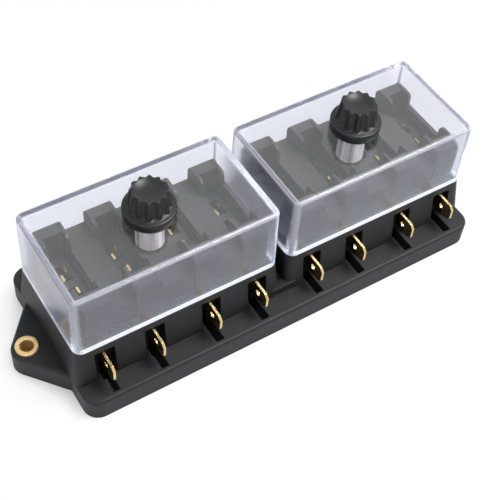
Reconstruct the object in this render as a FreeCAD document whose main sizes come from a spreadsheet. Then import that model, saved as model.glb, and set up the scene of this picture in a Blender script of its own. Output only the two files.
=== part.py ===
import FreeCAD, Part
import math
import os
from types import SimpleNamespace

import Sketcher

# Fuse box for eight flat blade fuses, in millimetres.
# One moulded housing carries two fuse blocks on a common flange with a fixing ear at each end.
# A clear cover closes each block and a thumb nut on a stud holds it.
# The origin is the middle of the underside, X runs along the box and Z points up.

DRIVING_SIZES = {
    # Flange and ears
    "flange_length": 142.0,
    "flange_width": 56.2,
    "flange_thickness": 8.0,
    "flange_corner": 5.0,
    "flange_edge_round": 1.0,
    "ear_hole_reach": 6.4,
    "ear_root_width": 31.0,
    "ear_tip_radius": 4.9,
    # Fuse blocks: drafted walls, a rim that the cover rests on and a raised core
    "rim_length": 67.9,
    "rim_width": 37.7,
    "rim_height": 21.4,
    "rim_corner": 3.0,
    "end_draft": 1.2,
    "side_draft": 2.0,
    "core_length": 62.5,
    "core_width": 32.1,
    "core_corner": 3.0,
    "core_step_height": 25.3,
    "core_setback": 0.5,
    "deck_height": 32.4,
    "web_width": 9.0,
    "web_rise": 3.0,
    # Fuse ways
    "inner_pitch": 19.0,
    "outer_pitch": 16.2,
    "way_shift": 0.35,
    "terminal_shift": 0.45,
    "tower_width": 8.3,
    "tower_height": 37.9,
    "tower_round": 1.6,
    "tower_outer_round": 2.4,
    "cheek_front": 8.0,
    "cheek_rise": 0.4,
    "seat_width": 6.2,
    "seat_length": 20.4,
    "seat_floor": 28.0,
    "seat_lead": 1.2,
    "ledge_width": 7.6,
    "ledge_depth": 2.6,
    "bridge_width": 2.6,
    # Terminals
    "sheet": 0.8,
    "tab_setback": 2.0,
    "tab_height": 6.3,
    "tab_middle": 15.7,
    "tab_chamfer": 1.3,
    "tab_hole_radius": 1.0,
    "tab_hole_from_tip": 4.5,
    "finger_width": 2.4,
    "finger_gap": 0.3,
    "finger_grip": 0.72,
    "finger_flare": 0.95,
    "finger_length": 6.2,
    "finger_top": 28.1,
    "terminal_clearance": 0.1,
    # Pockets round the tabs, slots below them
    "pocket_width": 6.5,
    "pocket_height": 11.2,
    "pocket_depth": 4.0,
    "slot_width": 2.8,
    "slot_edge": 1.7,
    # Coring of the underside
    "core_wall": 1.4,
    "core_roof": 3.0,
    "core_cell_width": 27.0,
    "boss_radius": 4.4,
    # Covers
    "cover_wall": 1.6,
    "cover_top": 44.9,
    "cover_draft": 0.55,
    "cover_edge_round": 1.0,
    "cover_inner_corner": 0.9,
    "cover_gap": 0.1,
    "bush_hole_gap": 0.3,
    # Stud, bush and thumb nut
    "stud_radius": 2.5,
    "stud_depth": 12.4,
    "stud_top": 44.0,
    "stud_chamfer": 0.7,
    "stud_fit": 0.05,
    "thread_clearance": 0.1,
    "bush_radius": 4.3,
    "bush_chamfer": 0.25,
    "bush_gap": 0.1,
    "bush_socket": 5.0,
    "nut_lip_radius": 7.9,
    "nut_lip_chamfer": 1.0,
    "nut_lip_height": 3.6,
    "nut_shoulder": 0.2,
    "grip_base_radius": 6.45,
    "grip_top_radius": 5.5,
    "grip_height": 6.5,
    "flute_depth": 1.0,
    "dish_radius": 4.3,
    "dish_depth": 1.0,
    # Eyelets in the ears
    "eyelet_bore_radius": 2.05,
    "eyelet_sleeve_radius": 2.9,
    "eyelet_rim_radius": 3.6,
    "eyelet_rim_height": 0.8,
    "eyelet_fit": 0.05,
}

FLUTE_COUNT = 12
NUT_TURNS = {"left": 15, "right": 11}
X_AXIS = -1
Y_AXIS = -2
START = 1
END = 2
CENTRE = 3
UP = FreeCAD.Vector(0, 0, 1)


class Size:
    """A length worked out from the sheet: its number, and the formula that binds it there."""

    def __init__(self, number, formula):
        self.number = number
        self.formula = formula

    def __add__(self, other):
        other = as_size(other)
        return Size(self.number + other.number, f"({self.formula} + {other.formula})")

    def __sub__(self, other):
        other = as_size(other)
        return Size(self.number - other.number, f"({self.formula} - {other.formula})")

    def __mul__(self, other):
        other = as_size(other)
        return Size(self.number * other.number, f"({self.formula} * {other.formula})")

    def __truediv__(self, other):
        other = as_size(other)
        return Size(self.number / other.number, f"({self.formula} / {other.formula})")

    def __neg__(self):
        return Size(-self.number, f"(-1 * {self.formula})")


def slope(sideways, along):
    """The angle of a wall that leans by one length over another."""
    number = math.degrees(math.atan(sideways.number / along.number))
    return Size(number, f"atan({sideways.formula} / {along.formula})")


def as_size(value):
    """A plain number is a size with itself as its formula."""
    if isinstance(value, Size):
        return value
    return Size(float(value), repr(float(value)))


def fill_sheet(document):
    """Write the driving sizes to the sheet and return them under their names."""
    sheet = document.addObject("Spreadsheet::Sheet", "Sizes")
    for row, (name, number) in enumerate(DRIVING_SIZES.items(), start=1):
        sheet.set(f"A{row}", name)
        sheet.set(f"B{row}", str(number))
        sheet.setAlias(f"B{row}", name)
    document.recompute()
    return SimpleNamespace(
        **{name: Size(float(sheet.get(name)), f"Sizes.{name}") for name in DRIVING_SIZES}
    )


# Sketches

def datum(body, role):
    """One of the body's own origin planes or axes."""
    return next(feature for feature in body.Origin.OriginFeatures if feature.Role == role)


def sketch_on(body, name, plane, lift=None, shift=None):
    """A sketch on an origin plane, lifted along its normal and shifted along its first axis."""
    sketch = body.newObject("Sketcher::SketchObject", name)
    sketch.AttachmentSupport = [(datum(body, plane), "")]
    sketch.MapMode = "FlatFace"
    if lift is not None:
        sketch.setExpression("AttachmentOffset.Base.z", lift.formula)
    if shift is not None:
        sketch.setExpression("AttachmentOffset.Base.x", shift.formula)
    return sketch


def constrain(sketch, *what):
    """Add one constraint and return its index."""
    return sketch.addConstraint(Sketcher.Constraint(*what))


def pin(sketch, geometry, end, x, y):
    """Hold a sketch point at its distances from the sketch's origin."""
    for kind, axis, place in (("DistanceX", Y_AXIS, as_size(x)), ("DistanceY", X_AXIS, as_size(y))):
        if abs(place.number) < 1e-9:
            constrain(sketch, "PointOnObject", geometry, end, axis)
        elif place.number > 0:
            index = constrain(sketch, kind, -1, 1, geometry, end, place.number)
            sketch.setExpression(f"Constraints[{index}]", place.formula)
        else:
            index = constrain(sketch, kind, geometry, end, -1, 1, -place.number)
            sketch.setExpression(f"Constraints[{index}]", (-place).formula)


def set_radius(sketch, geometry, radius):
    """Bind the radius of an arc or circle."""
    index = constrain(sketch, "Radius", geometry, radius.number)
    sketch.setExpression(f"Constraints[{index}]", radius.formula)


def circle(sketch, radius, x=0, y=0):
    """A circle of a bound radius at a bound place."""
    middle = FreeCAD.Vector(as_size(x).number, as_size(y).number, 0)
    index = sketch.addGeometry(Part.Circle(middle, UP, radius.number))
    pin(sketch, index, CENTRE, x, y)
    set_radius(sketch, index, radius)


def arc_at(point, before, after, radius):
    """The arc that rounds a corner, its two ends in the outline's order, and whether it turns left."""
    to_before = (before - point).normalize()
    to_after = (after - point).normalize()
    half = to_before.getAngle(to_after) / 2
    reach = radius / math.tan(half)
    middle = point + (to_before + to_after).normalize() * (radius / math.sin(half))
    first = point + to_before * reach
    last = point + to_after * reach
    turns_left = to_before.cross(to_after).z < 0
    begin, finish = (first, last) if turns_left else (last, first)
    begin_angle = math.atan2(begin.y - middle.y, begin.x - middle.x)
    finish_angle = math.atan2(finish.y - middle.y, finish.x - middle.x)
    if finish_angle < begin_angle:
        finish_angle += 2 * math.pi
    arc = Part.ArcOfCircle(Part.Circle(middle, UP, radius), begin_angle, finish_angle)
    return arc, first, last, turns_left


def outline(sketch, corners):
    """A closed outline through corners (x, y), or (x, y, radius) where the corner is rounded."""
    places = [FreeCAD.Vector(as_size(c[0]).number, as_size(c[1]).number, 0) for c in corners]
    count = len(corners)
    arcs = {}
    for index, corner in enumerate(corners):
        if len(corner) == 3:
            before = places[index - 1]
            after = places[(index + 1) % count]
            arcs[index] = arc_at(places[index], before, after, corner[2].number)
    lines = []
    for index in range(count):
        following = (index + 1) % count
        start = arcs[index][2] if index in arcs else places[index]
        finish = arcs[following][1] if following in arcs else places[following]
        lines.append(sketch.addGeometry(Part.LineSegment(start, finish)))
    for index, corner in enumerate(corners):
        arriving = lines[index - 1]
        leaving = lines[index]
        if index not in arcs:
            constrain(sketch, "Coincident", arriving, END, leaving, START)
            pin(sketch, leaving, START, corner[0], corner[1])
            continue
        arc, _, _, turns_left = arcs[index]
        bend = sketch.addGeometry(arc)
        first_end, last_end = (START, END) if turns_left else (END, START)
        constrain(sketch, "Tangent", arriving, END, bend, first_end)
        constrain(sketch, "Tangent", bend, last_end, leaving, START)
        set_radius(sketch, bend, corner[2])
        mark = sketch.addGeometry(Part.Point(places[index]), True)
        pin(sketch, mark, START, corner[0], corner[1])
        constrain(sketch, "PointOnObject", mark, START, arriving)
        constrain(sketch, "PointOnObject", mark, START, leaving)


def rectangle(sketch, x_from, x_to, y_from, y_to, radius=None):
    """An upright rectangle, with rounded corners where a radius is given."""
    corners = [(x_from, y_from), (x_to, y_from), (x_to, y_to), (x_from, y_to)]
    if radius is not None:
        corners = [corner + (radius,) for corner in corners]
    outline(sketch, corners)


def centred_rectangle(sketch, length, width, radius=None):
    """A rectangle about the sketch's origin."""
    rectangle(sketch, -(length / 2), length / 2, -(width / 2), width / 2, radius)


# Features

def pad(body, name, sketch, length, side="One side", draft=None):
    """Raise a sketch along its normal, or to both sides of it."""
    feature = body.newObject("PartDesign::Pad", name)
    feature.Profile = sketch
    feature.SideType = side
    feature.setExpression("Length", length.formula)
    if draft is not None:
        feature.setExpression("TaperAngle", (-draft).formula)
    return feature


def pocket(body, name, sketch, length, side="One side", upwards=False, draft=None):
    """Cut a sketch against its normal, along it, or to both sides of it."""
    feature = body.newObject("PartDesign::Pocket", name)
    feature.Profile = sketch
    feature.SideType = side
    feature.Reversed = upwards
    feature.setExpression("Length", length.formula)
    if draft is not None:
        feature.setExpression("TaperAngle", (-draft).formula)
    return feature


def loft(body, name, kind, first, last):
    """A straight-sided loft between two sketches, added or cut."""
    feature = body.newObject(f"PartDesign::{kind}Loft", name)
    feature.Profile = first
    feature.Sections = [last]
    feature.Ruled = True
    return feature


def revolve(body, name, sketch):
    """Turn a sketch once round the vertical axis."""
    feature = body.newObject("PartDesign::Revolution", name)
    feature.Profile = sketch
    feature.ReferenceAxis = (datum(body, "Z_Axis"), [""])
    feature.Angle = 360
    return feature


def round_level_edges(body, name, base, height, radius):
    """Round every edge of a feature that lies at one height."""
    body.Document.recompute()
    names = []
    for index, edge in enumerate(base.Shape.Edges, start=1):
        box = edge.BoundBox
        if abs(box.ZMin - height.number) < 1e-4 and abs(box.ZMax - height.number) < 1e-4:
            names.append(f"Edge{index}")
    feature = body.newObject("PartDesign::Fillet", name)
    feature.Base = (base, names)
    feature.setExpression("Radius", radius.formula)
    return feature


def row_along_x(body, name, length):
    """A pattern step that repeats what it is given once, further along X."""
    step = body.newObject("PartDesign::LinearPattern", name)
    step.Direction = (datum(body, "X_Axis"), [""])
    step.Occurrences = 2
    step.setExpression("Length", length.formula)
    return step


def repeat(body, name, originals, steps):
    """Repeat features by several pattern steps, one after the other."""
    feature = body.newObject("PartDesign::MultiTransform", name)
    feature.Originals = originals
    feature.Transformations = steps
    body.Tip = feature
    return feature


def new_body(document, label):
    """An empty body that carries the sub-part's name."""
    body = document.addObject("PartDesign::Body", label)
    body.Label = label
    return body


document = FreeCAD.newDocument("FuseBox")
size = fill_sheet(document)

# Places that several pieces share
flange_top = size.flange_thickness
block_x = (size.flange_length - size.rim_length) / 2 - size.end_draft
ear_hole_x = size.flange_length / 2 + size.ear_hole_reach
way_places = [
    size.way_shift - size.inner_pitch / 2 - size.outer_pitch,
    size.way_shift - size.inner_pitch / 2,
    size.way_shift + size.inner_pitch / 2,
    size.way_shift + size.inner_pitch / 2 + size.outer_pitch,
]
tab_bottom = size.tab_middle - size.tab_height / 2
tab_top = size.tab_middle + size.tab_height / 2
tab_tip = size.flange_width / 2 - size.tab_setback
slot_end = size.flange_width / 2 - size.slot_edge
finger_inner = size.bridge_width / 2 + size.terminal_clearance * 4
finger_outer = finger_inner + size.finger_width * 2 + size.finger_gap
well_end = finger_outer + size.terminal_clearance * 4
well_half = size.finger_flare + size.sheet / 2 + size.terminal_clearance * 4
cover_foot = size.rim_height + size.cover_gap
nut_foot = size.cover_top + size.cover_gap


# Housing

def ear_outline(sketch):
    """The pointed ear: two sides that run tangent to the round about the fixing hole."""
    root = FreeCAD.Vector(size.flange_length.number / 2, size.ear_root_width.number / 2, 0)
    hole = FreeCAD.Vector(ear_hole_x.number, 0, 0)
    to_root = root - hole
    lean = math.acos(size.ear_tip_radius.number / to_root.Length)
    angle = math.atan2(to_root.y, to_root.x) - lean
    reach = size.ear_tip_radius.number
    touch = hole + FreeCAD.Vector(math.cos(angle), math.sin(angle), 0) * reach
    mirrored = FreeCAD.Vector(touch.x, -touch.y, 0)
    inner_x = size.flange_length / 2 - size.flange_corner
    inner = FreeCAD.Vector(inner_x.number, root.y, 0)
    points = [
        FreeCAD.Vector(inner.x, -inner.y, 0),
        FreeCAD.Vector(root.x, -root.y, 0),
        mirrored,
        touch,
        root,
        inner,
    ]
    lower_root = sketch.addGeometry(Part.LineSegment(points[0], points[1]))
    lower_side = sketch.addGeometry(Part.LineSegment(points[1], points[2]))
    tip = sketch.addGeometry(
        Part.ArcOfCircle(Part.Circle(hole, UP, size.ear_tip_radius.number), -angle, angle)
    )
    upper_side = sketch.addGeometry(Part.LineSegment(points[3], points[4]))
    upper_root = sketch.addGeometry(Part.LineSegment(points[4], points[5]))
    back = sketch.addGeometry(Part.LineSegment(points[5], points[0]))
    constrain(sketch, "Coincident", lower_root, END, lower_side, START)
    constrain(sketch, "Tangent", lower_side, END, tip, START)
    constrain(sketch, "Tangent", tip, END, upper_side, START)
    constrain(sketch, "Coincident", upper_side, END, upper_root, START)
    constrain(sketch, "Coincident", upper_root, END, back, START)
    constrain(sketch, "Coincident", back, END, lower_root, START)
    half_root = size.ear_root_width / 2
    pin(sketch, lower_root, START, inner_x, -half_root)
    pin(sketch, lower_side, START, size.flange_length / 2, -half_root)
    pin(sketch, upper_side, END, size.flange_length / 2, half_root)
    pin(sketch, upper_root, END, inner_x, half_root)
    pin(sketch, tip, CENTRE, ear_hole_x, 0)
    set_radius(sketch, tip, size.ear_tip_radius)


def add_flange(body):
    """The flange plate with both ears and its rounded upper edge."""
    plate = sketch_on(body, "FlangeSketch", "XY_Plane")
    centred_rectangle(plate, size.flange_length, size.flange_width, size.flange_corner)
    pad(body, "Flange", plate, size.flange_thickness)
    ear_sketch = sketch_on(body, "EarSketch", "XY_Plane")
    ear_outline(ear_sketch)
    ear = pad(body, "Ear", ear_sketch, size.flange_thickness)
    ears = body.newObject("PartDesign::Mirrored", "Ears")
    ears.Originals = [ear]
    ears.MirrorPlane = (datum(body, "YZ_Plane"), [""])
    body.Tip = ears
    round_level_edges(body, "FlangeRound", ears, size.flange_thickness, size.flange_edge_round)


def add_blocks(body):
    """Both fuse blocks: root, drafted walls and core, and the low web that joins them."""
    left = -block_x
    foot_length = size.rim_length + size.end_draft * 2
    foot_width = size.rim_width + size.side_draft * 2
    root_depth = size.flange_edge_round * 2
    root_sketch = sketch_on(body, "BlockRootSketch", "XY_Plane", flange_top - root_depth, left)
    centred_rectangle(root_sketch, foot_length, foot_width, size.rim_corner)
    root = pad(body, "BlockRoot", root_sketch, root_depth)
    foot = sketch_on(body, "BlockFootSketch", "XY_Plane", flange_top, left)
    centred_rectangle(foot, foot_length, foot_width, size.rim_corner)
    rim = sketch_on(body, "BlockRimSketch", "XY_Plane", size.rim_height, left)
    centred_rectangle(rim, size.rim_length, size.rim_width, size.rim_corner)
    walls = loft(body, "BlockWalls", "Additive", foot, rim)
    step_sketch = sketch_on(body, "CoreFootSketch", "XY_Plane", size.rim_height, left)
    centred_rectangle(step_sketch, size.core_length, size.core_width, size.core_corner)
    core_foot = pad(body, "CoreFoot", step_sketch, size.core_step_height - size.rim_height)
    core_sketch = sketch_on(body, "CoreSketch", "XY_Plane", size.core_step_height, left)
    narrower = size.core_width - size.core_setback * 2
    centred_rectangle(core_sketch, size.core_length, narrower, size.core_corner)
    core = pad(body, "Core", core_sketch, size.deck_height - size.core_step_height)
    blocks = [root, walls, core_foot, core]
    repeat(body, "Blocks", blocks, [row_along_x(body, "BlockStep", block_x * 2)])
    web_sketch = sketch_on(body, "WebSketch", "XY_Plane", flange_top - size.web_rise)
    centred_rectangle(web_sketch, size.web_width, foot_width - size.cover_gap * 4)
    pad(body, "Web", web_sketch, size.web_rise * 2)


def core_underside(body):
    """Hollows between the ways, open to the underside, with a boss left round each stud."""
    offset = size.way_shift - size.terminal_shift
    half_inner = size.inner_pitch / 2 - well_half - size.core_wall
    half_outer = size.outer_pitch / 2 - well_half - size.core_wall
    outer_x = (size.inner_pitch + size.outer_pitch) / 2
    half_width = size.core_cell_width / 2
    sketch = sketch_on(body, "CoringSketch", "XY_Plane", None, -block_x)
    rectangle(sketch, offset - half_inner, offset + half_inner, -half_width, half_width)
    circle(sketch, size.boss_radius)
    for middle in (offset - outer_x, offset + outer_x):
        rectangle(sketch, middle - half_outer, middle + half_outer, -half_width, half_width)
    coring = pocket(body, "Coring", sketch, size.deck_height - size.core_roof, upwards=True)
    stud_sketch = sketch_on(body, "StudHoleSketch", "XY_Plane", size.deck_height, -block_x)
    circle(stud_sketch, size.stud_radius + size.stud_fit)
    stud_hole = pocket(body, "StudHole", stud_sketch, size.stud_depth)
    repeat(body, "Hollows", [coring, stud_hole], [row_along_x(body, "HollowStep", block_x * 2)])


def tower_outlines(sketch):
    """Side view of a way's two end towers, each with rounded upper corners."""
    back = size.core_width / 2
    bottom = size.core_step_height
    for sign in (1, -1):
        outline(sketch, [
            (size.cheek_front * sign, bottom),
            (back * sign, bottom),
            (back * sign, size.tower_height, size.tower_outer_round),
            (size.cheek_front * sign, size.tower_height, size.tower_round),
        ])


def seat_outline(sketch):
    """Side view of the fuse seat: floor, leaning end walls and the tops of the end blocks."""
    half = size.seat_length / 2
    mouth = half + size.seat_lead
    beyond = size.core_width / 2 + size.tower_round
    block_top = size.tower_height - size.cheek_rise
    above = size.tower_height + size.tower_round
    outline(sketch, [
        (-half, size.seat_floor),
        (half, size.seat_floor),
        (mouth, block_top),
        (beyond, block_top),
        (beyond, above),
        (-beyond, above),
        (-beyond, block_top),
        (-mouth, block_top),
    ])


def add_ways(body):
    """The first way's towers, seat, wells, channels and pockets, repeated for all eight."""
    way_x = way_places[0] - block_x
    terminal_x = way_x - size.terminal_shift

    towers_sketch = sketch_on(body, "TowerSketch", "YZ_Plane", way_x)
    tower_outlines(towers_sketch)
    towers = pad(body, "Towers", towers_sketch, size.tower_width, "Symmetric")

    seat_sketch = sketch_on(body, "SeatSketch", "YZ_Plane", way_x)
    seat_outline(seat_sketch)
    seat = pocket(body, "Seat", seat_sketch, size.seat_width, "Symmetric")

    ledge_sketch = sketch_on(body, "LedgeSketch", "YZ_Plane", way_x)
    rectangle(
        ledge_sketch,
        -size.cheek_front,
        size.cheek_front,
        size.deck_height - size.ledge_depth,
        size.deck_height + size.core_roof,
    )
    ledge = pocket(body, "Ledge", ledge_sketch, size.ledge_width, "Symmetric")

    wall_sketch = sketch_on(body, "TabPocketSketch", "YZ_Plane", way_x)
    pocket_outer = size.flange_width / 2
    pocket_inner = size.rim_width / 2 - size.pocket_depth + size.side_draft
    for sign in (1, -1):
        rectangle(
            wall_sketch,
            pocket_inner * sign,
            pocket_outer * sign,
            flange_top,
            flange_top + size.pocket_height,
        )
    tab_pocket = pocket(body, "TabPocket", wall_sketch, size.pocket_width, "Symmetric")

    well_sketch = sketch_on(body, "WellSketch", "XY_Plane", None, terminal_x)
    channel_sketch = sketch_on(body, "ChannelSketch", "XY_Plane", None, terminal_x)
    slot_sketch = sketch_on(body, "SlotSketch", "XY_Plane", None, terminal_x)
    channel_half = size.sheet / 2 + size.terminal_clearance
    for sign in (1, -1):
        near = size.bridge_width / 2 * sign
        rectangle(well_sketch, -well_half, well_half, near, well_end * sign)
        rectangle(
            channel_sketch,
            -channel_half,
            channel_half,
            finger_outer * sign,
            (pocket_inner + size.sheet) * sign,
        )
        rectangle(
            slot_sketch,
            -(size.slot_width / 2),
            size.slot_width / 2,
            pocket_inner * sign,
            slot_end * sign,
        )
    well = pocket(body, "Well", well_sketch, size.seat_floor + size.sheet, upwards=True)
    channel_top = tab_top + size.terminal_clearance
    channel = pocket(body, "Channel", channel_sketch, channel_top, upwards=True)
    slot = pocket(body, "Slot", slot_sketch, flange_top, upwards=True)

    steps = [
        row_along_x(body, "OuterStep", size.outer_pitch),
        row_along_x(body, "InnerStep", size.outer_pitch + size.inner_pitch),
        row_along_x(body, "AcrossStep", block_x * 2),
    ]
    repeat(body, "Ways", [towers, seat, ledge, tab_pocket, well, channel, slot], steps)


def add_ear_holes(body):
    """Holes in the ears for the eyelets."""
    sketch = sketch_on(body, "EarHoleSketch", "XY_Plane", flange_top)
    for sign in (1, -1):
        circle(sketch, size.eyelet_sleeve_radius + size.eyelet_fit, ear_hole_x * sign)
    pocket(body, "EarHoles", sketch, size.flange_thickness)


def make_housing():
    """The one black moulding that carries everything."""
    body = new_body(document, "housing")
    add_flange(body)
    add_blocks(body)
    core_underside(body)
    add_ways(body)
    add_ear_holes(body)
    return body


# Terminals

def finger(body, name, outer_end, side):
    """One contact finger, bent out of the sheet to one side and flared at its mouth."""
    sketch = sketch_on(body, f"{name}Sketch", "XZ_Plane", -outer_end)
    root = size.finger_top - size.finger_length
    bend = root + size.finger_length / 3
    half = size.sheet / 2
    outline(sketch, [
        (-half, root - size.sheet),
        (half, root - size.sheet),
        (half, root),
        (size.finger_grip * side + half, bend),
        (size.finger_flare * side + half, size.finger_top),
        (size.finger_flare * side - half, size.finger_top),
        (size.finger_grip * side - half, bend),
        (-half, root),
    ])
    pad(body, name, sketch, size.finger_width)


def make_terminal(label, x, turn):
    """A stamped brass terminal: blade tab, web, riser and two contact fingers."""
    body = new_body(document, label)
    sheet_top = size.finger_top - size.finger_length
    sketch = sketch_on(body, f"{label}_sheet", "YZ_Plane")
    outline(sketch, [
        (finger_inner, tab_bottom),
        (tab_tip - size.tab_chamfer, tab_bottom),
        (tab_tip, tab_bottom + size.tab_chamfer),
        (tab_tip, tab_top - size.tab_chamfer),
        (tab_tip - size.tab_chamfer, tab_top),
        (finger_outer, tab_top),
        (finger_outer, sheet_top),
        (finger_inner, sheet_top),
    ])
    pad(body, f"{label}_blank", sketch, size.sheet, "Symmetric")
    finger(body, f"{label}_outer_finger", finger_outer, 1)
    finger(body, f"{label}_inner_finger", finger_inner + size.finger_width, -1)
    hole_sketch = sketch_on(body, f"{label}_hole_sketch", "YZ_Plane")
    circle(hole_sketch, size.tab_hole_radius, tab_tip - size.tab_hole_from_tip, size.tab_middle)
    pocket(body, f"{label}_hole", hole_sketch, size.sheet * 2, "Symmetric")
    body.Placement.Rotation = FreeCAD.Rotation(UP, turn)
    body.setExpression("Placement.Base.x", x.formula)
    return body


# Covers, nuts, studs and eyelets

def make_cover(label, x):
    """A clear cover: drafted walls, round outside, sharp inside, and a hole for the nut's bush."""
    body = new_body(document, label)
    wall = size.cover_wall
    height = size.cover_top - cover_foot
    draft = slope(size.cover_draft, height)
    outer = sketch_on(body, f"{label}_outer_rim", "XY_Plane", cover_foot)
    centred_rectangle(outer, size.rim_length, size.rim_width, size.rim_corner)
    shell = pad(body, f"{label}_outside", outer, height, draft=draft)
    round_level_edges(body, f"{label}_round", shell, size.cover_top, size.cover_edge_round)
    inner = sketch_on(body, f"{label}_inner_rim", "XY_Plane", cover_foot)
    centred_rectangle(
        inner, size.rim_length - wall * 2, size.rim_width - wall * 2, size.cover_inner_corner
    )
    pocket(body, f"{label}_inside", inner, height - wall, upwards=True, draft=draft)
    hole_sketch = sketch_on(body, f"{label}_hole_sketch", "XY_Plane", size.cover_top)
    circle(hole_sketch, size.bush_radius + size.bush_hole_gap)
    pocket(body, f"{label}_hole", hole_sketch, wall * 2)
    body.setExpression("Placement.Base.x", x.formula)
    return body


def flute_circle(body, name, height, ridge_radius, depth):
    """Where one flute meets a level: a circle through two neighbouring ridges."""
    half_step = math.pi / FLUTE_COUNT
    half_chord = ridge_radius * math.sin(half_step)
    chord_distance = ridge_radius * math.cos(half_step)
    radius = (half_chord * half_chord + depth * depth) / (depth * 2)
    sketch = sketch_on(body, name, "XY_Plane", height)
    circle(sketch, radius, chord_distance + radius - depth)
    return sketch


def make_nut(label, x, turn):
    """The thumb nut: a flange, a fluted grip that tapers to the top and a dished crown."""
    body = new_body(document, label)
    lip_top = nut_foot + size.nut_lip_height
    grip_foot = lip_top + size.nut_shoulder
    crown = grip_foot + size.grip_height
    socket = size.bush_radius + size.stud_fit
    socket_top = nut_foot + size.bush_socket + size.stud_fit
    dish = crown - size.dish_depth
    dish_curve = size.dish_radius * 2
    sketch = sketch_on(body, f"{label}_profile", "XZ_Plane")
    outline(sketch, [
        (socket, nut_foot),
        (size.nut_lip_radius - size.nut_lip_chamfer, nut_foot),
        (size.nut_lip_radius, nut_foot + size.nut_lip_chamfer),
        (size.nut_lip_radius, lip_top),
        (size.grip_base_radius, grip_foot),
        (size.grip_top_radius, crown),
        (size.dish_radius, crown),
        (size.dish_radius / 2, dish, dish_curve),
        (0, dish),
        (0, socket_top),
        (socket, socket_top),
    ])
    revolve(body, f"{label}_turned", sketch)
    taper = size.grip_top_radius / size.grip_base_radius
    low = flute_circle(
        body, f"{label}_flute_foot", grip_foot, size.grip_base_radius, size.flute_depth
    )
    high = flute_circle(
        body, f"{label}_flute_top", crown, size.grip_top_radius, size.flute_depth * taper
    )
    flute = loft(body, f"{label}_flute", "Subtractive", low, high)
    flutes = body.newObject("PartDesign::PolarPattern", f"{label}_flutes")
    flutes.Originals = [flute]
    flutes.Axis = (datum(body, "Z_Axis"), [""])
    flutes.Angle = 360
    flutes.Occurrences = FLUTE_COUNT
    body.Tip = flutes
    body.Placement.Rotation = FreeCAD.Rotation(UP, turn)
    body.setExpression("Placement.Base.x", x.formula)
    return body


def make_bush(label, x):
    """The plated bush that is moulded into the nut and runs down to the deck."""
    body = new_body(document, label)
    foot = size.deck_height + size.bush_gap
    bore = size.stud_radius + size.thread_clearance
    bore_top = size.stud_top + size.stud_chamfer
    sketch = sketch_on(body, f"{label}_profile", "XZ_Plane")
    outline(sketch, [
        (bore, foot),
        (size.bush_radius - size.bush_chamfer, foot),
        (size.bush_radius, foot + size.bush_chamfer),
        (size.bush_radius, nut_foot + size.bush_socket),
        (0, nut_foot + size.bush_socket),
        (0, bore_top),
        (bore, bore_top),
    ])
    revolve(body, f"{label}_turned", sketch)
    body.setExpression("Placement.Base.x", x.formula)
    return body


def make_stud(label, x):
    """The stud that stands in the housing's boss."""
    body = new_body(document, label)
    sketch = sketch_on(body, f"{label}_profile", "XZ_Plane")
    outline(sketch, [
        (0, size.deck_height - size.stud_depth),
        (size.stud_radius, size.deck_height - size.stud_depth),
        (size.stud_radius, size.stud_top - size.stud_chamfer),
        (size.stud_radius - size.stud_chamfer, size.stud_top),
        (0, size.stud_top),
    ])
    revolve(body, f"{label}_turned", sketch)
    body.setExpression("Placement.Base.x", x.formula)
    return body


def make_eyelet(label, x):
    """The brass eyelet that lines a fixing hole and stands a little proud of the ear."""
    body = new_body(document, label)
    rim_top = flange_top + size.eyelet_rim_height
    edge = size.eyelet_rim_height / 2
    sketch = sketch_on(body, f"{label}_profile", "XZ_Plane")
    outline(sketch, [
        (size.eyelet_bore_radius, 0),
        (size.eyelet_sleeve_radius, 0),
        (size.eyelet_sleeve_radius, flange_top),
        (size.eyelet_rim_radius, flange_top),
        (size.eyelet_rim_radius, rim_top, edge),
        (size.eyelet_bore_radius, rim_top, edge),
    ])
    revolve(body, f"{label}_turned", sketch)
    body.setExpression("Placement.Base.x", x.formula)
    return body


def make_all():
    """Every sub-part, in a list."""
    bodies = [make_housing()]
    number = 0
    for block in (-block_x, block_x):
        for place in way_places:
            number += 1
            x = block + place - size.terminal_shift
            bodies.append(make_terminal(f"rear_terminal_{number}", x, 0))
            bodies.append(make_terminal(f"front_terminal_{number}", x, 180))
    for side, x in (("left", -block_x), ("right", block_x)):
        bodies.append(make_cover(f"{side}_cover", x))
        bodies.append(make_nut(f"{side}_thumb_nut", x, NUT_TURNS[side]))
        bodies.append(make_bush(f"{side}_nut_bush", x))
        bodies.append(make_stud(f"{side}_stud", x))
    bodies.append(make_eyelet("left_eyelet", -ear_hole_x))
    bodies.append(make_eyelet("right_eyelet", ear_hole_x))
    return bodies


def check_document(bodies):
    """Stop if any object failed, any cut removed nothing or any sub-part is not one sound solid."""
    for item in document.Objects:
        if "Invalid" in item.State or "Error" in item.State:
            raise RuntimeError(f"{item.Label} failed: {item.State}")
    for body in bodies:
        for feature in body.Group:
            cuts = feature.TypeId in ("PartDesign::Pocket", "PartDesign::SubtractiveLoft")
            if cuts and feature.Shape.Volume > feature.BaseFeature.Shape.Volume - 1e-3:
                raise RuntimeError(f"{feature.Label} cuts nothing")
        shape = body.Shape
        if shape.isNull() or not shape.isValid() or len(shape.Solids) != 1:
            raise RuntimeError(f"{body.Label} is not one sound solid")


bodies = make_all()
document.recompute()
check_document(bodies)
os.makedirs("parts", exist_ok=True)
for body in bodies:
    body.Shape.exportStep(f"parts/{body.Label}.step")
print(len(bodies), "sub-parts written")
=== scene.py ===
import math

import bmesh
import bpy
from mathutils import Matrix, Vector


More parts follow.
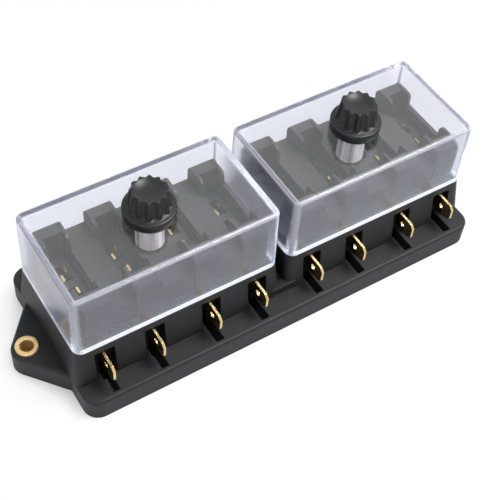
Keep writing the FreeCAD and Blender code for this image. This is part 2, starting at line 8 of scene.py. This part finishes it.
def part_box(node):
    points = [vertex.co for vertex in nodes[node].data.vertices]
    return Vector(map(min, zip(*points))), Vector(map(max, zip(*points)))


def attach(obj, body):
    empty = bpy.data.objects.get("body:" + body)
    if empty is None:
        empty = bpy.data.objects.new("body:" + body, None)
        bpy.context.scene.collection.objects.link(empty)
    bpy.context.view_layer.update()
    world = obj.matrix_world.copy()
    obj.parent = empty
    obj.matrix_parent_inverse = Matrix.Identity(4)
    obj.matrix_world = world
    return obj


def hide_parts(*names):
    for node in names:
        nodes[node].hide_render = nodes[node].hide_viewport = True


# An eight-way fuse box: a black housing with brass tabs, two clear covers, and a thumb nut on each.
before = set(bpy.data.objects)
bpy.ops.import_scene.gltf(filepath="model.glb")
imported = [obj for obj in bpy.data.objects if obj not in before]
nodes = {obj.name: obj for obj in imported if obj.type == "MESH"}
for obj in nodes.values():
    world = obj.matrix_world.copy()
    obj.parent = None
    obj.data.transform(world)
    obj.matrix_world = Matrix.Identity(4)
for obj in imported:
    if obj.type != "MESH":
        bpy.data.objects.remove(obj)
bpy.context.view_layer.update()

MM = 0.001
SIDES = ("left", "right")
WAYS = range(1, 9)

# The camera: the picture's width in pixels, the lens, and where it stands round the box.
IMAGE_WIDTH = 491
FOCAL_PIXELS = 1042.03
SENSOR_WIDTH = 36.0
CAMERA_AZIMUTH = math.radians(-36.4817)
CAMERA_ELEVATION = math.radians(51.4168)
CAMERA_ROLL = math.radians(5.6538)
CAMERA_DISTANCE = 345.96 * MM
CAMERA_TARGET = Vector((2.2841, 4.4204, 0)) * MM

# The floor's size in metres, how much of its look is plain white, how near a piece has to be to dim
# that white glow as painted shade, and how strongly the white room lights the box.
FLOOR_SIZE = 6.0
FLOOR_WHITENESS = 0.85
FLOOR_SHADE_REACH = 12 * MM
WORLD_LIGHT = 0.45

# How much light passes a cover's flat faces, its rounded edges and the foot of its walls, the rest being
# scattered. The edges and the foot are made pale and less clear as a painted highlight, in place of the
# light that they gather. The foot ends this high over the ground and clears over this much more.
FACE_CLEARNESS = 0.985
EDGE_CLEARNESS = 0.4
FOOT_CLEARNESS = 0.1
FOOT_TOP = 22.3 * MM
FOOT_FADE = 0.4 * MM

# The studs: the turns of thread over the deck, its pitch, its root radius and the chamfer at the tip,
# in millimetres, and the mesh points round a stud. A turn runs down one flank to the root, along it and
# up the other flank to the crest, each ending at its share of the pitch.
THREAD_TURNS = 14
THREAD_PITCH = 0.8
THREAD_ROOT = 2.1
ROOT_START = 0.4
ROOT_END = 0.5
CREST_START = 0.9
STUD_TIP = 0.5
STUD_POINTS = 48

# Folds sharper than this many degrees stay creases on the nuts and the studs.
NUT_CREASE = 38
STUD_CREASE = 20

# The thumb nuts: ridges round the grip, mesh points for a ridge and its trough, the share of that step
# that half a ridge's top takes, and the degrees that each nut is turned by. The profile runs from the
# socket's roof down, out, up and in to the dish, as radius and height over the nut's foot in
# millimetres, and flute depth as a share of the radius.
RIDGES = 12
POINTS_PER_RIDGE = 12
RIDGE_TOP = 0.1
RIDGE_ANGLES = {"left": 0, "right": 26}
SOCKET = (4.35, 5.05, 0)
NUT_PROFILE = [
    (4.35, 0, 0), (6.9, 0, 0), (7.55, 0.25, 0), (7.9, 0.9, 0), (7.9, 3.25, 0), (7.84, 3.48, 0),
    (7.68, 3.62, 0), (7.3, 3.68, 0), (6.7, 3.74, 0), (6.5, 3.84, 0.02), (6.43, 4.05, 0.12),
    (6.38, 4.35, 0.155), (5.6, 9.95, 0.155), (5.54, 10.16, 0.15), (5.4, 10.27, 0.14),
    (5.15, 10.3, 0.1), (4.7, 10.28, 0.03), (4.3, 10.2, 0), (3.9, 9.98, 0), (3.3, 9.72, 0),
    (2.5, 9.48, 0), (1.6, 9.33, 0), (0.7, 9.28, 0),
]


def linear(hex_colour):
    """Turns an sRGB hex colour into the linear colour that a socket holds."""
    channels = [int(hex_colour[i:i + 2], 16) / 255 for i in (1, 3, 5)]
    return [c / 12.92 if c <= 0.04045 else ((c + 0.055) / 1.055) ** 2.4 for c in channels] + [1]


def add(tree, kind, settings=None, links=None):
    """Adds a node, fills in its sockets or options by name and links what feeds it."""
    node = tree.nodes.new(kind)
    for name, value in (settings or {}).items():
        if name in node.inputs:
            node.inputs[name].default_value = value
        else:
            setattr(node, name, value)
    for name, source in (links or {}).items():
        tree.links.new(source, node.inputs[name])
    return node


def start_material(name, settings):
    """A new material with one Principled shader, its tree and the object's own coordinates."""
    material = bpy.data.materials.new(name)
    material.use_nodes = True
    tree = material.node_tree
    shader = tree.nodes["Principled BSDF"]
    for socket, value in settings.items():
        shader.inputs[socket].default_value = value
    place = add(tree, "ShaderNodeTexCoord").outputs["Object"]
    return material, tree, shader, place


def per_mm(size):
    """A pattern scale, in features per metre, from the real size of one feature in millimetres."""
    return 1 / (size * MM)


def glass_filled_nylon():
    """Black nylon, moulded in a spark-eroded tool: a fine dull grain and a tone that drifts at random,
    with painted shade that darkens it to near black in its corners and recesses."""
    material, tree, shader, place = start_material(
        "glass_filled_nylon", {"IOR": 1.5, "Specular IOR Level": 0.26})
    grain = add(tree, "ShaderNodeTexNoise", {"Scale": per_mm(0.45), "Detail": 2.0}, {"Vector": place})
    flow = add(tree, "ShaderNodeTexNoise", {"Scale": per_mm(22), "Detail": 3.0}, {"Vector": place})
    colour = add(tree, "ShaderNodeMixRGB", {"Color1": linear("#1f1f21"), "Color2": linear("#27272b")},
                 {"Fac": flow.outputs["Fac"]})
    # Painted shade: the colour falls to near black where little room is open round a point, in corners
    # and recesses.
    openness = add(tree, "ShaderNodeAmbientOcclusion", {"samples": 8, "Distance": 5 * MM})
    unshaded_share = add(tree, "ShaderNodeMapRange", {"From Min": 0.3, "From Max": 0.9},
                  {"Value": openness.outputs["AO"]})
    painted_corner_shade = add(tree, "ShaderNodeMixRGB", {"Color1": linear("#0a0a0b")},
                 {"Fac": unshaded_share.outputs["Result"], "Color2": colour.outputs["Color"]})
    sheen = add(tree, "ShaderNodeMapRange", {"To Min": 0.42, "To Max": 0.62},
                {"Value": grain.outputs["Fac"]})
    edge = add(tree, "ShaderNodeBevel", {"samples": 8, "Radius": 0.25 * MM})
    bump = add(tree, "ShaderNodeBump", {"Strength": 0.06, "Distance": 0.05 * MM},
               {"Height": grain.outputs["Fac"], "Normal": edge.outputs["Normal"]})
    tree.links.new(painted_corner_shade.outputs["Color"], shader.inputs["Base Color"])
    tree.links.new(sheen.outputs["Result"], shader.inputs["Roughness"])
    tree.links.new(bump.outputs["Normal"], shader.inputs["Normal"])
    return material


def polished_phenolic():
    """Black phenolic of the thumb nuts: a smooth press-moulded skin whose edges catch the light."""
    material, tree, shader, place = start_material(
        "polished_phenolic", {"IOR": 1.55, "Specular IOR Level": 0.32})
    haze = add(tree, "ShaderNodeTexNoise", {"Scale": per_mm(1.6), "Detail": 2.0}, {"Vector": place})
    colour = add(tree, "ShaderNodeMixRGB", {"Color1": linear("#161618"), "Color2": linear("#1f1f22")},
                 {"Fac": haze.outputs["Fac"]})
    sheen = add(tree, "ShaderNodeMapRange", {"To Min": 0.32, "To Max": 0.42},
                {"Value": haze.outputs["Fac"]})
    bump = add(tree, "ShaderNodeBump", {"Strength": 0.04, "Distance": 0.03 * MM},
               {"Height": haze.outputs["Fac"]})
    tree.links.new(colour.outputs["Color"], shader.inputs["Base Color"])
    tree.links.new(sheen.outputs["Result"], shader.inputs["Roughness"])
    tree.links.new(bump.outputs["Normal"], shader.inputs["Normal"])
    return material


def clear_polystyrene():
    """Clear polystyrene of the covers: polished and faintly blue in the walls. Its rounded edges and the
    foot of its walls are a painted highlight, made pale and less clear in place of the light they gather."""
    material, tree, shader, place = start_material(
        "clear_polystyrene",
        {"IOR": 1.5, "Specular IOR Level": 0.3, "Sheen Weight": 0.15, "Sheen Roughness": 0.4,
         "Sheen Tint": linear("#7c98e4")})
    ripple = add(tree, "ShaderNodeTexNoise", {"Scale": per_mm(14), "Detail": 1.0}, {"Vector": place})
    bump = add(tree, "ShaderNodeBump", {"Strength": 0.1, "Distance": 0.15 * MM},
               {"Height": ripple.outputs["Fac"]})
    face = add(tree, "ShaderNodeNewGeometry")
    leaning = add(tree, "ShaderNodeVectorMath", {"operation": "ABSOLUTE"})
    tree.links.new(face.outputs["Normal"], leaning.inputs[0])
    parts = add(tree, "ShaderNodeSeparateXYZ", links={"Vector": leaning.outputs["Vector"]})
    squareness = parts.outputs["Z"]
    for side in ("X", "Y"):
        larger = add(tree, "ShaderNodeMath", {"operation": "MAXIMUM"})
        tree.links.new(squareness, larger.inputs[0])
        tree.links.new(parts.outputs[side], larger.inputs[1])
        squareness = larger.outputs["Value"]
    # Painted highlight: where the bevel rounds an edge, the cover turns less clear and paler, in place of
    # the light its edges gather.
    corner = add(tree, "ShaderNodeBevel", {"samples": 8, "Radius": 1.4 * MM})
    match = add(tree, "ShaderNodeVectorMath", {"operation": "DOT_PRODUCT"})
    tree.links.new(corner.outputs["Normal"], match.inputs[0])
    tree.links.new(face.outputs["Normal"], match.inputs[1])
    flatness = add(tree, "ShaderNodeMath", {"operation": "MINIMUM"})
    tree.links.new(squareness, flatness.inputs[0])
    tree.links.new(match.outputs["Value"], flatness.inputs[1])
    clearness = add(tree, "ShaderNodeMapRange",
                    {"From Min": 0.8, "From Max": 0.99,
                     "To Min": EDGE_CLEARNESS, "To Max": FACE_CLEARNESS},
                    {"Value": flatness.outputs["Value"]})
    level = add(tree, "ShaderNodeSeparateXYZ", links={"Vector": place})
    # Painted highlight: the foot of the walls is made nearly opaque and pale, in place of the light
    # gathered along its rim.
    over_foot = add(tree, "ShaderNodeMapRange",
                    {"From Min": FOOT_TOP, "From Max": FOOT_TOP + FOOT_FADE, "To Min": FOOT_CLEARNESS},
                    {"Value": level.outputs["Z"]})
    clearness_with_painted_rims = add(tree, "ShaderNodeMath", {"operation": "MULTIPLY"})
    tree.links.new(clearness.outputs["Result"], clearness_with_painted_rims.inputs[0])
    tree.links.new(over_foot.outputs["Result"], clearness_with_painted_rims.inputs[1])
    dullness = add(tree, "ShaderNodeMapRange", {"To Min": 0.2, "To Max": 0.02},
                   {"Value": parts.outputs["Z"]})
    body = add(tree, "ShaderNodeMixRGB", {"Color1": linear("#f3f6fe"), "Color2": linear("#fdfdff")},
               {"Fac": parts.outputs["Z"]})
    # Painted highlight: the rounded edges take a lavender grey in place of the light they gather.
    painted_edge_colour = add(tree, "ShaderNodeMixRGB", {"Color1": linear("#70708a")},
               {"Fac": clearness.outputs["Result"], "Color2": body.outputs["Color"]})
    tree.links.new(painted_edge_colour.outputs["Color"], shader.inputs["Base Color"])
    tree.links.new(clearness_with_painted_rims.outputs["Value"], shader.inputs["Transmission Weight"])
    tree.links.new(dullness.outputs["Result"], shader.inputs["Roughness"])
    tree.links.new(bump.outputs["Normal"], shader.inputs["Normal"])
    return material


def metal(name, dark, light, patch_size, rough_low, rough_high, edge_radius, metallic=1.0):
    """A metal whose colour and polish drift over patches of a size in millimetres, with broken edges."""
    material, tree, shader, place = start_material(name, {"Metallic": metallic})
    patches = add(tree, "ShaderNodeTexNoise", {"Scale": per_mm(patch_size), "Detail": 4.0},
                  {"Vector": place})
    colour = add(tree, "ShaderNodeMixRGB", {"Color1": linear(dark), "Color2": linear(light)},
                 {"Fac": patches.outputs["Fac"]})
    polish = add(tree, "ShaderNodeMapRange", {"To Min": rough_low, "To Max": rough_high},
                 {"Value": patches.outputs["Fac"]})
    edge = add(tree, "ShaderNodeBevel", {"samples": 4, "Radius": edge_radius * MM})
    bump = add(tree, "ShaderNodeBump", {"Strength": 0.1, "Distance": 0.02 * MM},
               {"Height": patches.outputs["Fac"], "Normal": edge.outputs["Normal"]})
    tree.links.new(colour.outputs["Color"], shader.inputs["Base Color"])
    tree.links.new(polish.outputs["Result"], shader.inputs["Roughness"])
    tree.links.new(bump.outputs["Normal"], shader.inputs["Normal"])
    return material


def stamped_brass():
    """Half-hard brass strip of the terminals: pale gold, sheared edges bright."""
    return metal("stamped_brass", "#cfae6c", "#ecd8a4", 2.4, 0.14, 0.26, 0.12)


def rolled_brass():
    """Brass of the ear eyelets: rolled over and slightly tarnished."""
    return metal("rolled_brass", "#cfae72", "#ecd29a", 1.5, 0.32, 0.44, 0.2, 0.65)


def satin_aluminium():
    """Drawn aluminium of the nut bushes: a pale satin with faint streaks along the draw."""
    material, tree, shader, place = start_material("satin_aluminium", {"Metallic": 0.25})
    along = add(tree, "ShaderNodeMapping", {"Scale": (1, 1, 0.05)}, {"Vector": place})
    streaks = add(tree, "ShaderNodeTexNoise", {"Scale": per_mm(1.8), "Detail": 2.0},
                  {"Vector": along.outputs["Vector"]})
    spread = add(tree, "ShaderNodeMapRange", {"From Min": 0.35, "From Max": 0.65},
                 {"Value": streaks.outputs["Fac"]})
    colour = add(tree, "ShaderNodeMixRGB", {"Color1": linear("#bcb7ba"), "Color2": linear("#fbf5f6")},
                 {"Fac": spread.outputs["Result"]})
    polish = add(tree, "ShaderNodeMapRange", {"To Min": 0.22, "To Max": 0.36},
                 {"Value": streaks.outputs["Fac"]})
    edge = add(tree, "ShaderNodeBevel", {"samples": 4, "Radius": 0.3 * MM})
    tree.links.new(colour.outputs["Color"], shader.inputs["Base Color"])
    tree.links.new(polish.outputs["Result"], shader.inputs["Roughness"])
    tree.links.new(edge.outputs["Normal"], shader.inputs["Normal"])
    return material


def zinc_plated():
    """Zinc plate on the studs: a duller grey."""
    return metal("zinc_plated_steel", "#8f9092", "#b4b5b6", 1.8, 0.3, 0.42, 0.1)


def pick(piece, wanted):
    """Selects the vertices whose place passes a test."""
    bpy.ops.mesh.select_all(action="DESELECT")
    mesh = bmesh.from_edit_mesh(piece.data)
    for vertex in mesh.verts:
        vertex.select_set(wanted(vertex.co))
    mesh.select_flush(True)
    bmesh.update_edit_mesh(piece.data)


def press_flutes(piece, radius, height, depth_before, depth):
    """Presses the troughs between the ridges into one ring of the grip, from one depth to the next."""
    step = 2 * math.pi / RIDGES
    deepest = 0.8 * radius * MM

    def on_ring(place):
        return abs(place.z - height * MM) < 0.001 * MM and place.xy.length > deepest

    for point in range(1, POINTS_PER_RIDGE // 2 + 1):
        share = point / POINTS_PER_RIDGE
        trough = max(0, math.sin(math.pi * (share - RIDGE_TOP) / (1 - 2 * RIDGE_TOP)))

        def in_trough(place):
            from_ridge = math.atan2(place.y, place.x) % step
            from_ridge = min(from_ridge, step - from_ridge)
            return on_ring(place) and abs(from_ridge - share * step) < 0.01 * step

        pick(piece, in_trough)
        scale = (1 - depth * trough) / (1 - depth_before * trough)
        bpy.ops.transform.resize(value=(scale, scale, 1), center_override=(0, 0, 0))
    pick(piece, on_ring)


def start_turning(points, radius, height):
    """A filled disc on the Z axis, left in edit mode with its rim selected. Sizes in millimetres."""
    bpy.ops.object.select_all(action="DESELECT")
    bpy.ops.mesh.primitive_circle_add(vertices=points, radius=radius * MM, fill_type="TRIFAN")
    piece = bpy.context.object
    bpy.ops.object.mode_set(mode="EDIT")
    bpy.ops.transform.translate(value=(0, 0, height * MM))
    pick(piece, lambda place: place.xy.length > radius * MM / 2)
    return piece


def draw_ring(radius, height, next_radius, next_height):
    """Draws the selected rim on to its next radius and height, in millimetres."""
    bpy.ops.mesh.extrude_edges_move(
        TRANSFORM_OT_translate={"value": (0, 0, (next_height - height) * MM)})
    scale = next_radius / radius
    bpy.ops.transform.resize(value=(scale, scale, 1), center_override=(0, 0, 0))


def finish_turning(piece, crease, material):
    """Closes the last rim to a point, turns the faces outwards and smooths all but the creases."""
    bpy.ops.mesh.extrude_edges_move()
    bpy.ops.mesh.merge(type="CENTER")
    bpy.ops.mesh.select_all(action="SELECT")
    bpy.ops.mesh.normals_make_consistent(inside=False)
    bpy.ops.object.mode_set(mode="OBJECT")
    bpy.ops.object.shade_smooth_by_angle(angle=math.radians(crease))
    piece.data.materials.append(material)


def mould_thumb_nut():
    """The thumb nut on the Z axis, drawn ring by ring from its socket to the dish in its crown."""
    radius, height, depth = SOCKET
    nut = start_turning(RIDGES * POINTS_PER_RIDGE, radius, height)
    for next_radius, next_height, next_depth in NUT_PROFILE:
        draw_ring(radius, height, next_radius, next_height)
        if max(depth, next_depth) > 0:
            press_flutes(nut, next_radius, next_height, depth, next_depth)
        radius, height, depth = next_radius, next_height, next_depth
    finish_turning(nut, NUT_CREASE, polished_phenolic())
    return nut


def roll_stud():
    """A stud on the Z axis, threaded from the deck up. The thread's turns are drawn as level grooves."""
    low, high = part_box("left_stud")
    crest = (high.x - low.x) / 2 / MM
    top = (high.z - low.z) / MM
    radius, height = crest, 0
    stud = start_turning(STUD_POINTS, radius, height)
    rings = []
    for turn in range(THREAD_TURNS):
        foot = top - STUD_TIP - (THREAD_TURNS - turn) * THREAD_PITCH
        rings.append((crest, foot))
        rings.append((THREAD_ROOT, foot + THREAD_PITCH * ROOT_START))
        rings.append((THREAD_ROOT, foot + THREAD_PITCH * ROOT_END))
        rings.append((crest, foot + THREAD_PITCH * CREST_START))
    rings.append((crest - STUD_TIP, top))
    for next_radius, next_height in rings:
        draw_ring(radius, height, next_radius, next_height)
        radius, height = next_radius, next_height
    finish_turning(stud, STUD_CREASE, zinc_plated())
    return stud


def settle(piece, name, place, turn):
    """Names a finished piece and puts its place and turn into its mesh."""
    bpy.ops.object.select_all(action="DESELECT")
    piece.select_set(True)
    bpy.context.view_layer.objects.active = piece
    piece.name = name
    piece.rotation_euler.z = math.radians(turn)
    piece.location = place
    bpy.ops.object.transform_apply(location=True, rotation=True, scale=True)


def copy_of(piece):
    """A copy with its own mesh."""
    bpy.ops.object.select_all(action="DESELECT")
    piece.select_set(True)
    bpy.context.view_layer.objects.active = piece
    bpy.ops.object.duplicate()
    return bpy.context.object


def fit_nuts_and_studs():
    """Sets a nut on each cover, its ridges turned as they stand, and a stud under each."""
    nut = mould_thumb_nut()
    stud = roll_stud()
    for side, side_nut, side_stud in (("left", copy_of(nut), copy_of(stud)), ("right", nut, stud)):
        low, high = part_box(f"{side}_thumb_nut")
        middle = (low.x + high.x) / 2
        settle(side_nut, f"{side}_fluted_nut", (middle, 0, low.z), RIDGE_ANGLES[side])
        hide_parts(f"{side}_thumb_nut")
        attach(side_nut, f"{side}_nut")
        settle(side_stud, f"{side}_threaded_stud", (middle, 0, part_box(f"{side}_stud")[0].z), 0)
        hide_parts(f"{side}_stud")
        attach(side_stud, "base")


def dress(names, material):
    """Gives the carried-over pieces their finish."""
    for name in names:
        for held in nodes[name].material_slots:
            held.material = material


def let_light_through(names):
    """The clear covers throw no dark shadow on what they close."""
    for name in names:
        nodes[name].visible_shadow = False


def dress_box():
    """Finishes every piece that keeps its CAD shape."""
    dress(["housing"], glass_filled_nylon())
    terminals = [f"{row}_terminal_{way}" for row in ("front", "rear") for way in WAYS]
    dress(terminals, stamped_brass())
    covers = [f"{side}_cover" for side in SIDES]
    dress(covers, clear_polystyrene())
    let_light_through(covers)
    dress([f"{side}_nut_bush" for side in SIDES], satin_aluminium())
    dress([f"{side}_eyelet" for side in SIDES], rolled_brass())


def seen_directly(tree):
    """1 for a ray from the camera, off a gloss or through the covers, else 0."""
    light_path = add(tree, "ShaderNodeLightPath")
    seen = light_path.outputs["Is Camera Ray"]
    for ray in ("Is Glossy Ray", "Is Transmission Ray"):
        either = add(tree, "ShaderNodeMath", {"operation": "MAXIMUM"})
        tree.links.new(seen, either.inputs[0])
        tree.links.new(light_path.outputs[ray], either.inputs[1])
        seen = either.outputs["Value"]
    return seen


def lay_floor():
    """A pale floor that reads as white paper. Its shadow is partly real, on its lit share, and partly
    painted shade where its white glow dims near the box.
    """
    bpy.ops.mesh.primitive_plane_add(size=FLOOR_SIZE)
    floor = bpy.context.object
    floor.name = "floor"
    material = bpy.data.materials.new("white_paper")
    material.use_nodes = True
    tree = material.node_tree
    tree.nodes.clear()
    paper = add(tree, "ShaderNodeBsdfDiffuse", {"Color": linear("#e6e6e6")})
    glow = add(tree, "ShaderNodeEmission", {"Strength": 1.0})
    share = add(tree, "ShaderNodeMath", {"operation": "MULTIPLY"})
    tree.links.new(seen_directly(tree), share.inputs[0])
    # Painted shade: the white glow dims where a piece stands near, so that a contact shadow shows round
    # the box.
    open_to_sky = add(tree, "ShaderNodeAmbientOcclusion", {"samples": 8, "Distance": FLOOR_SHADE_REACH})
    glow_outside_painted_shade = add(tree, "ShaderNodeMapRange", {"From Min": 0.25, "From Max": 0.75, "To Max": FLOOR_WHITENESS},
              {"Value": open_to_sky.outputs["AO"]})
    tree.links.new(glow_outside_painted_shade.outputs["Result"], share.inputs[1])
    mix = add(tree, "ShaderNodeMixShader", links={"Fac": share.outputs["Value"]})
    tree.links.new(paper.outputs["BSDF"], mix.inputs[1])
    tree.links.new(glow.outputs["Emission"], mix.inputs[2])
    add(tree, "ShaderNodeOutputMaterial", links={"Surface": mix.outputs["Shader"]})
    floor.data.materials.append(material)


def set_world():
    """White where it is seen or mirrored, a softer grey as a light."""
    world = bpy.data.worlds.new("studio")
    bpy.context.scene.world = world
    world.use_nodes = True
    tree = world.node_tree
    tree.nodes.clear()
    strength = add(tree, "ShaderNodeMapRange", {"To Min": WORLD_LIGHT, "To Max": 1.0},
                   {"Value": seen_directly(tree)})
    background = add(tree, "ShaderNodeBackground", {"Color": linear("#ffffff")},
                     {"Strength": strength.outputs["Result"]})
    add(tree, "ShaderNodeOutputWorld", links={"Surface": background.outputs["Background"]})


def add_softbox(name, place, size, watts):
    """A square area lamp that faces the middle of the box."""
    lamp = bpy.data.lights.new(name, "AREA")
    lamp.size = size
    lamp.energy = watts
    holder = bpy.data.objects.new(name, lamp)
    bpy.context.scene.collection.objects.link(holder)
    holder.location = place
    holder.rotation_euler = (-Vector(place)).to_track_quat("-Z", "Y").to_euler()
    holder.visible_camera = False


def set_camera():
    """The camera stands back from its target along its azimuth and elevation, rolled about its view."""
    camera = bpy.data.cameras.new("camera")
    camera.sensor_fit = "HORIZONTAL"
    camera.sensor_width = SENSOR_WIDTH
    camera.lens = FOCAL_PIXELS / IMAGE_WIDTH * SENSOR_WIDTH
    camera.clip_start = 10 * MM
    camera.clip_end = 20
    back = Vector((math.sin(CAMERA_AZIMUTH) * math.cos(CAMERA_ELEVATION),
                   -math.cos(CAMERA_AZIMUTH) * math.cos(CAMERA_ELEVATION),
                   math.sin(CAMERA_ELEVATION)))
    level_right = (-back).cross(Vector((0, 0, 1))).normalized()
    level_up = level_right.cross(-back)
    right = math.cos(CAMERA_ROLL) * level_right + math.sin(CAMERA_ROLL) * level_up
    up = math.cos(CAMERA_ROLL) * level_up - math.sin(CAMERA_ROLL) * level_right
    holder = bpy.data.objects.new("camera", camera)
    bpy.context.scene.collection.objects.link(holder)
    turn = Matrix((right, up, back)).transposed().to_4x4()
    holder.matrix_world = Matrix.Translation(CAMERA_TARGET + back * CAMERA_DISTANCE) @ turn
    bpy.context.scene.camera = holder


bpy.ops.object.select_all(action="DESELECT")
dress_box()
fit_nuts_and_studs()
lay_floor()
set_world()
add_softbox("key_softbox", place=(0.38, -0.16, 0.8), size=0.4, watts=9.0)
add_softbox("side_softbox", place=(-0.6, -0.5, 0.4), size=0.4, watts=1.5)
set_camera()
bpy.context.scene.view_settings.view_transform = "Standard"
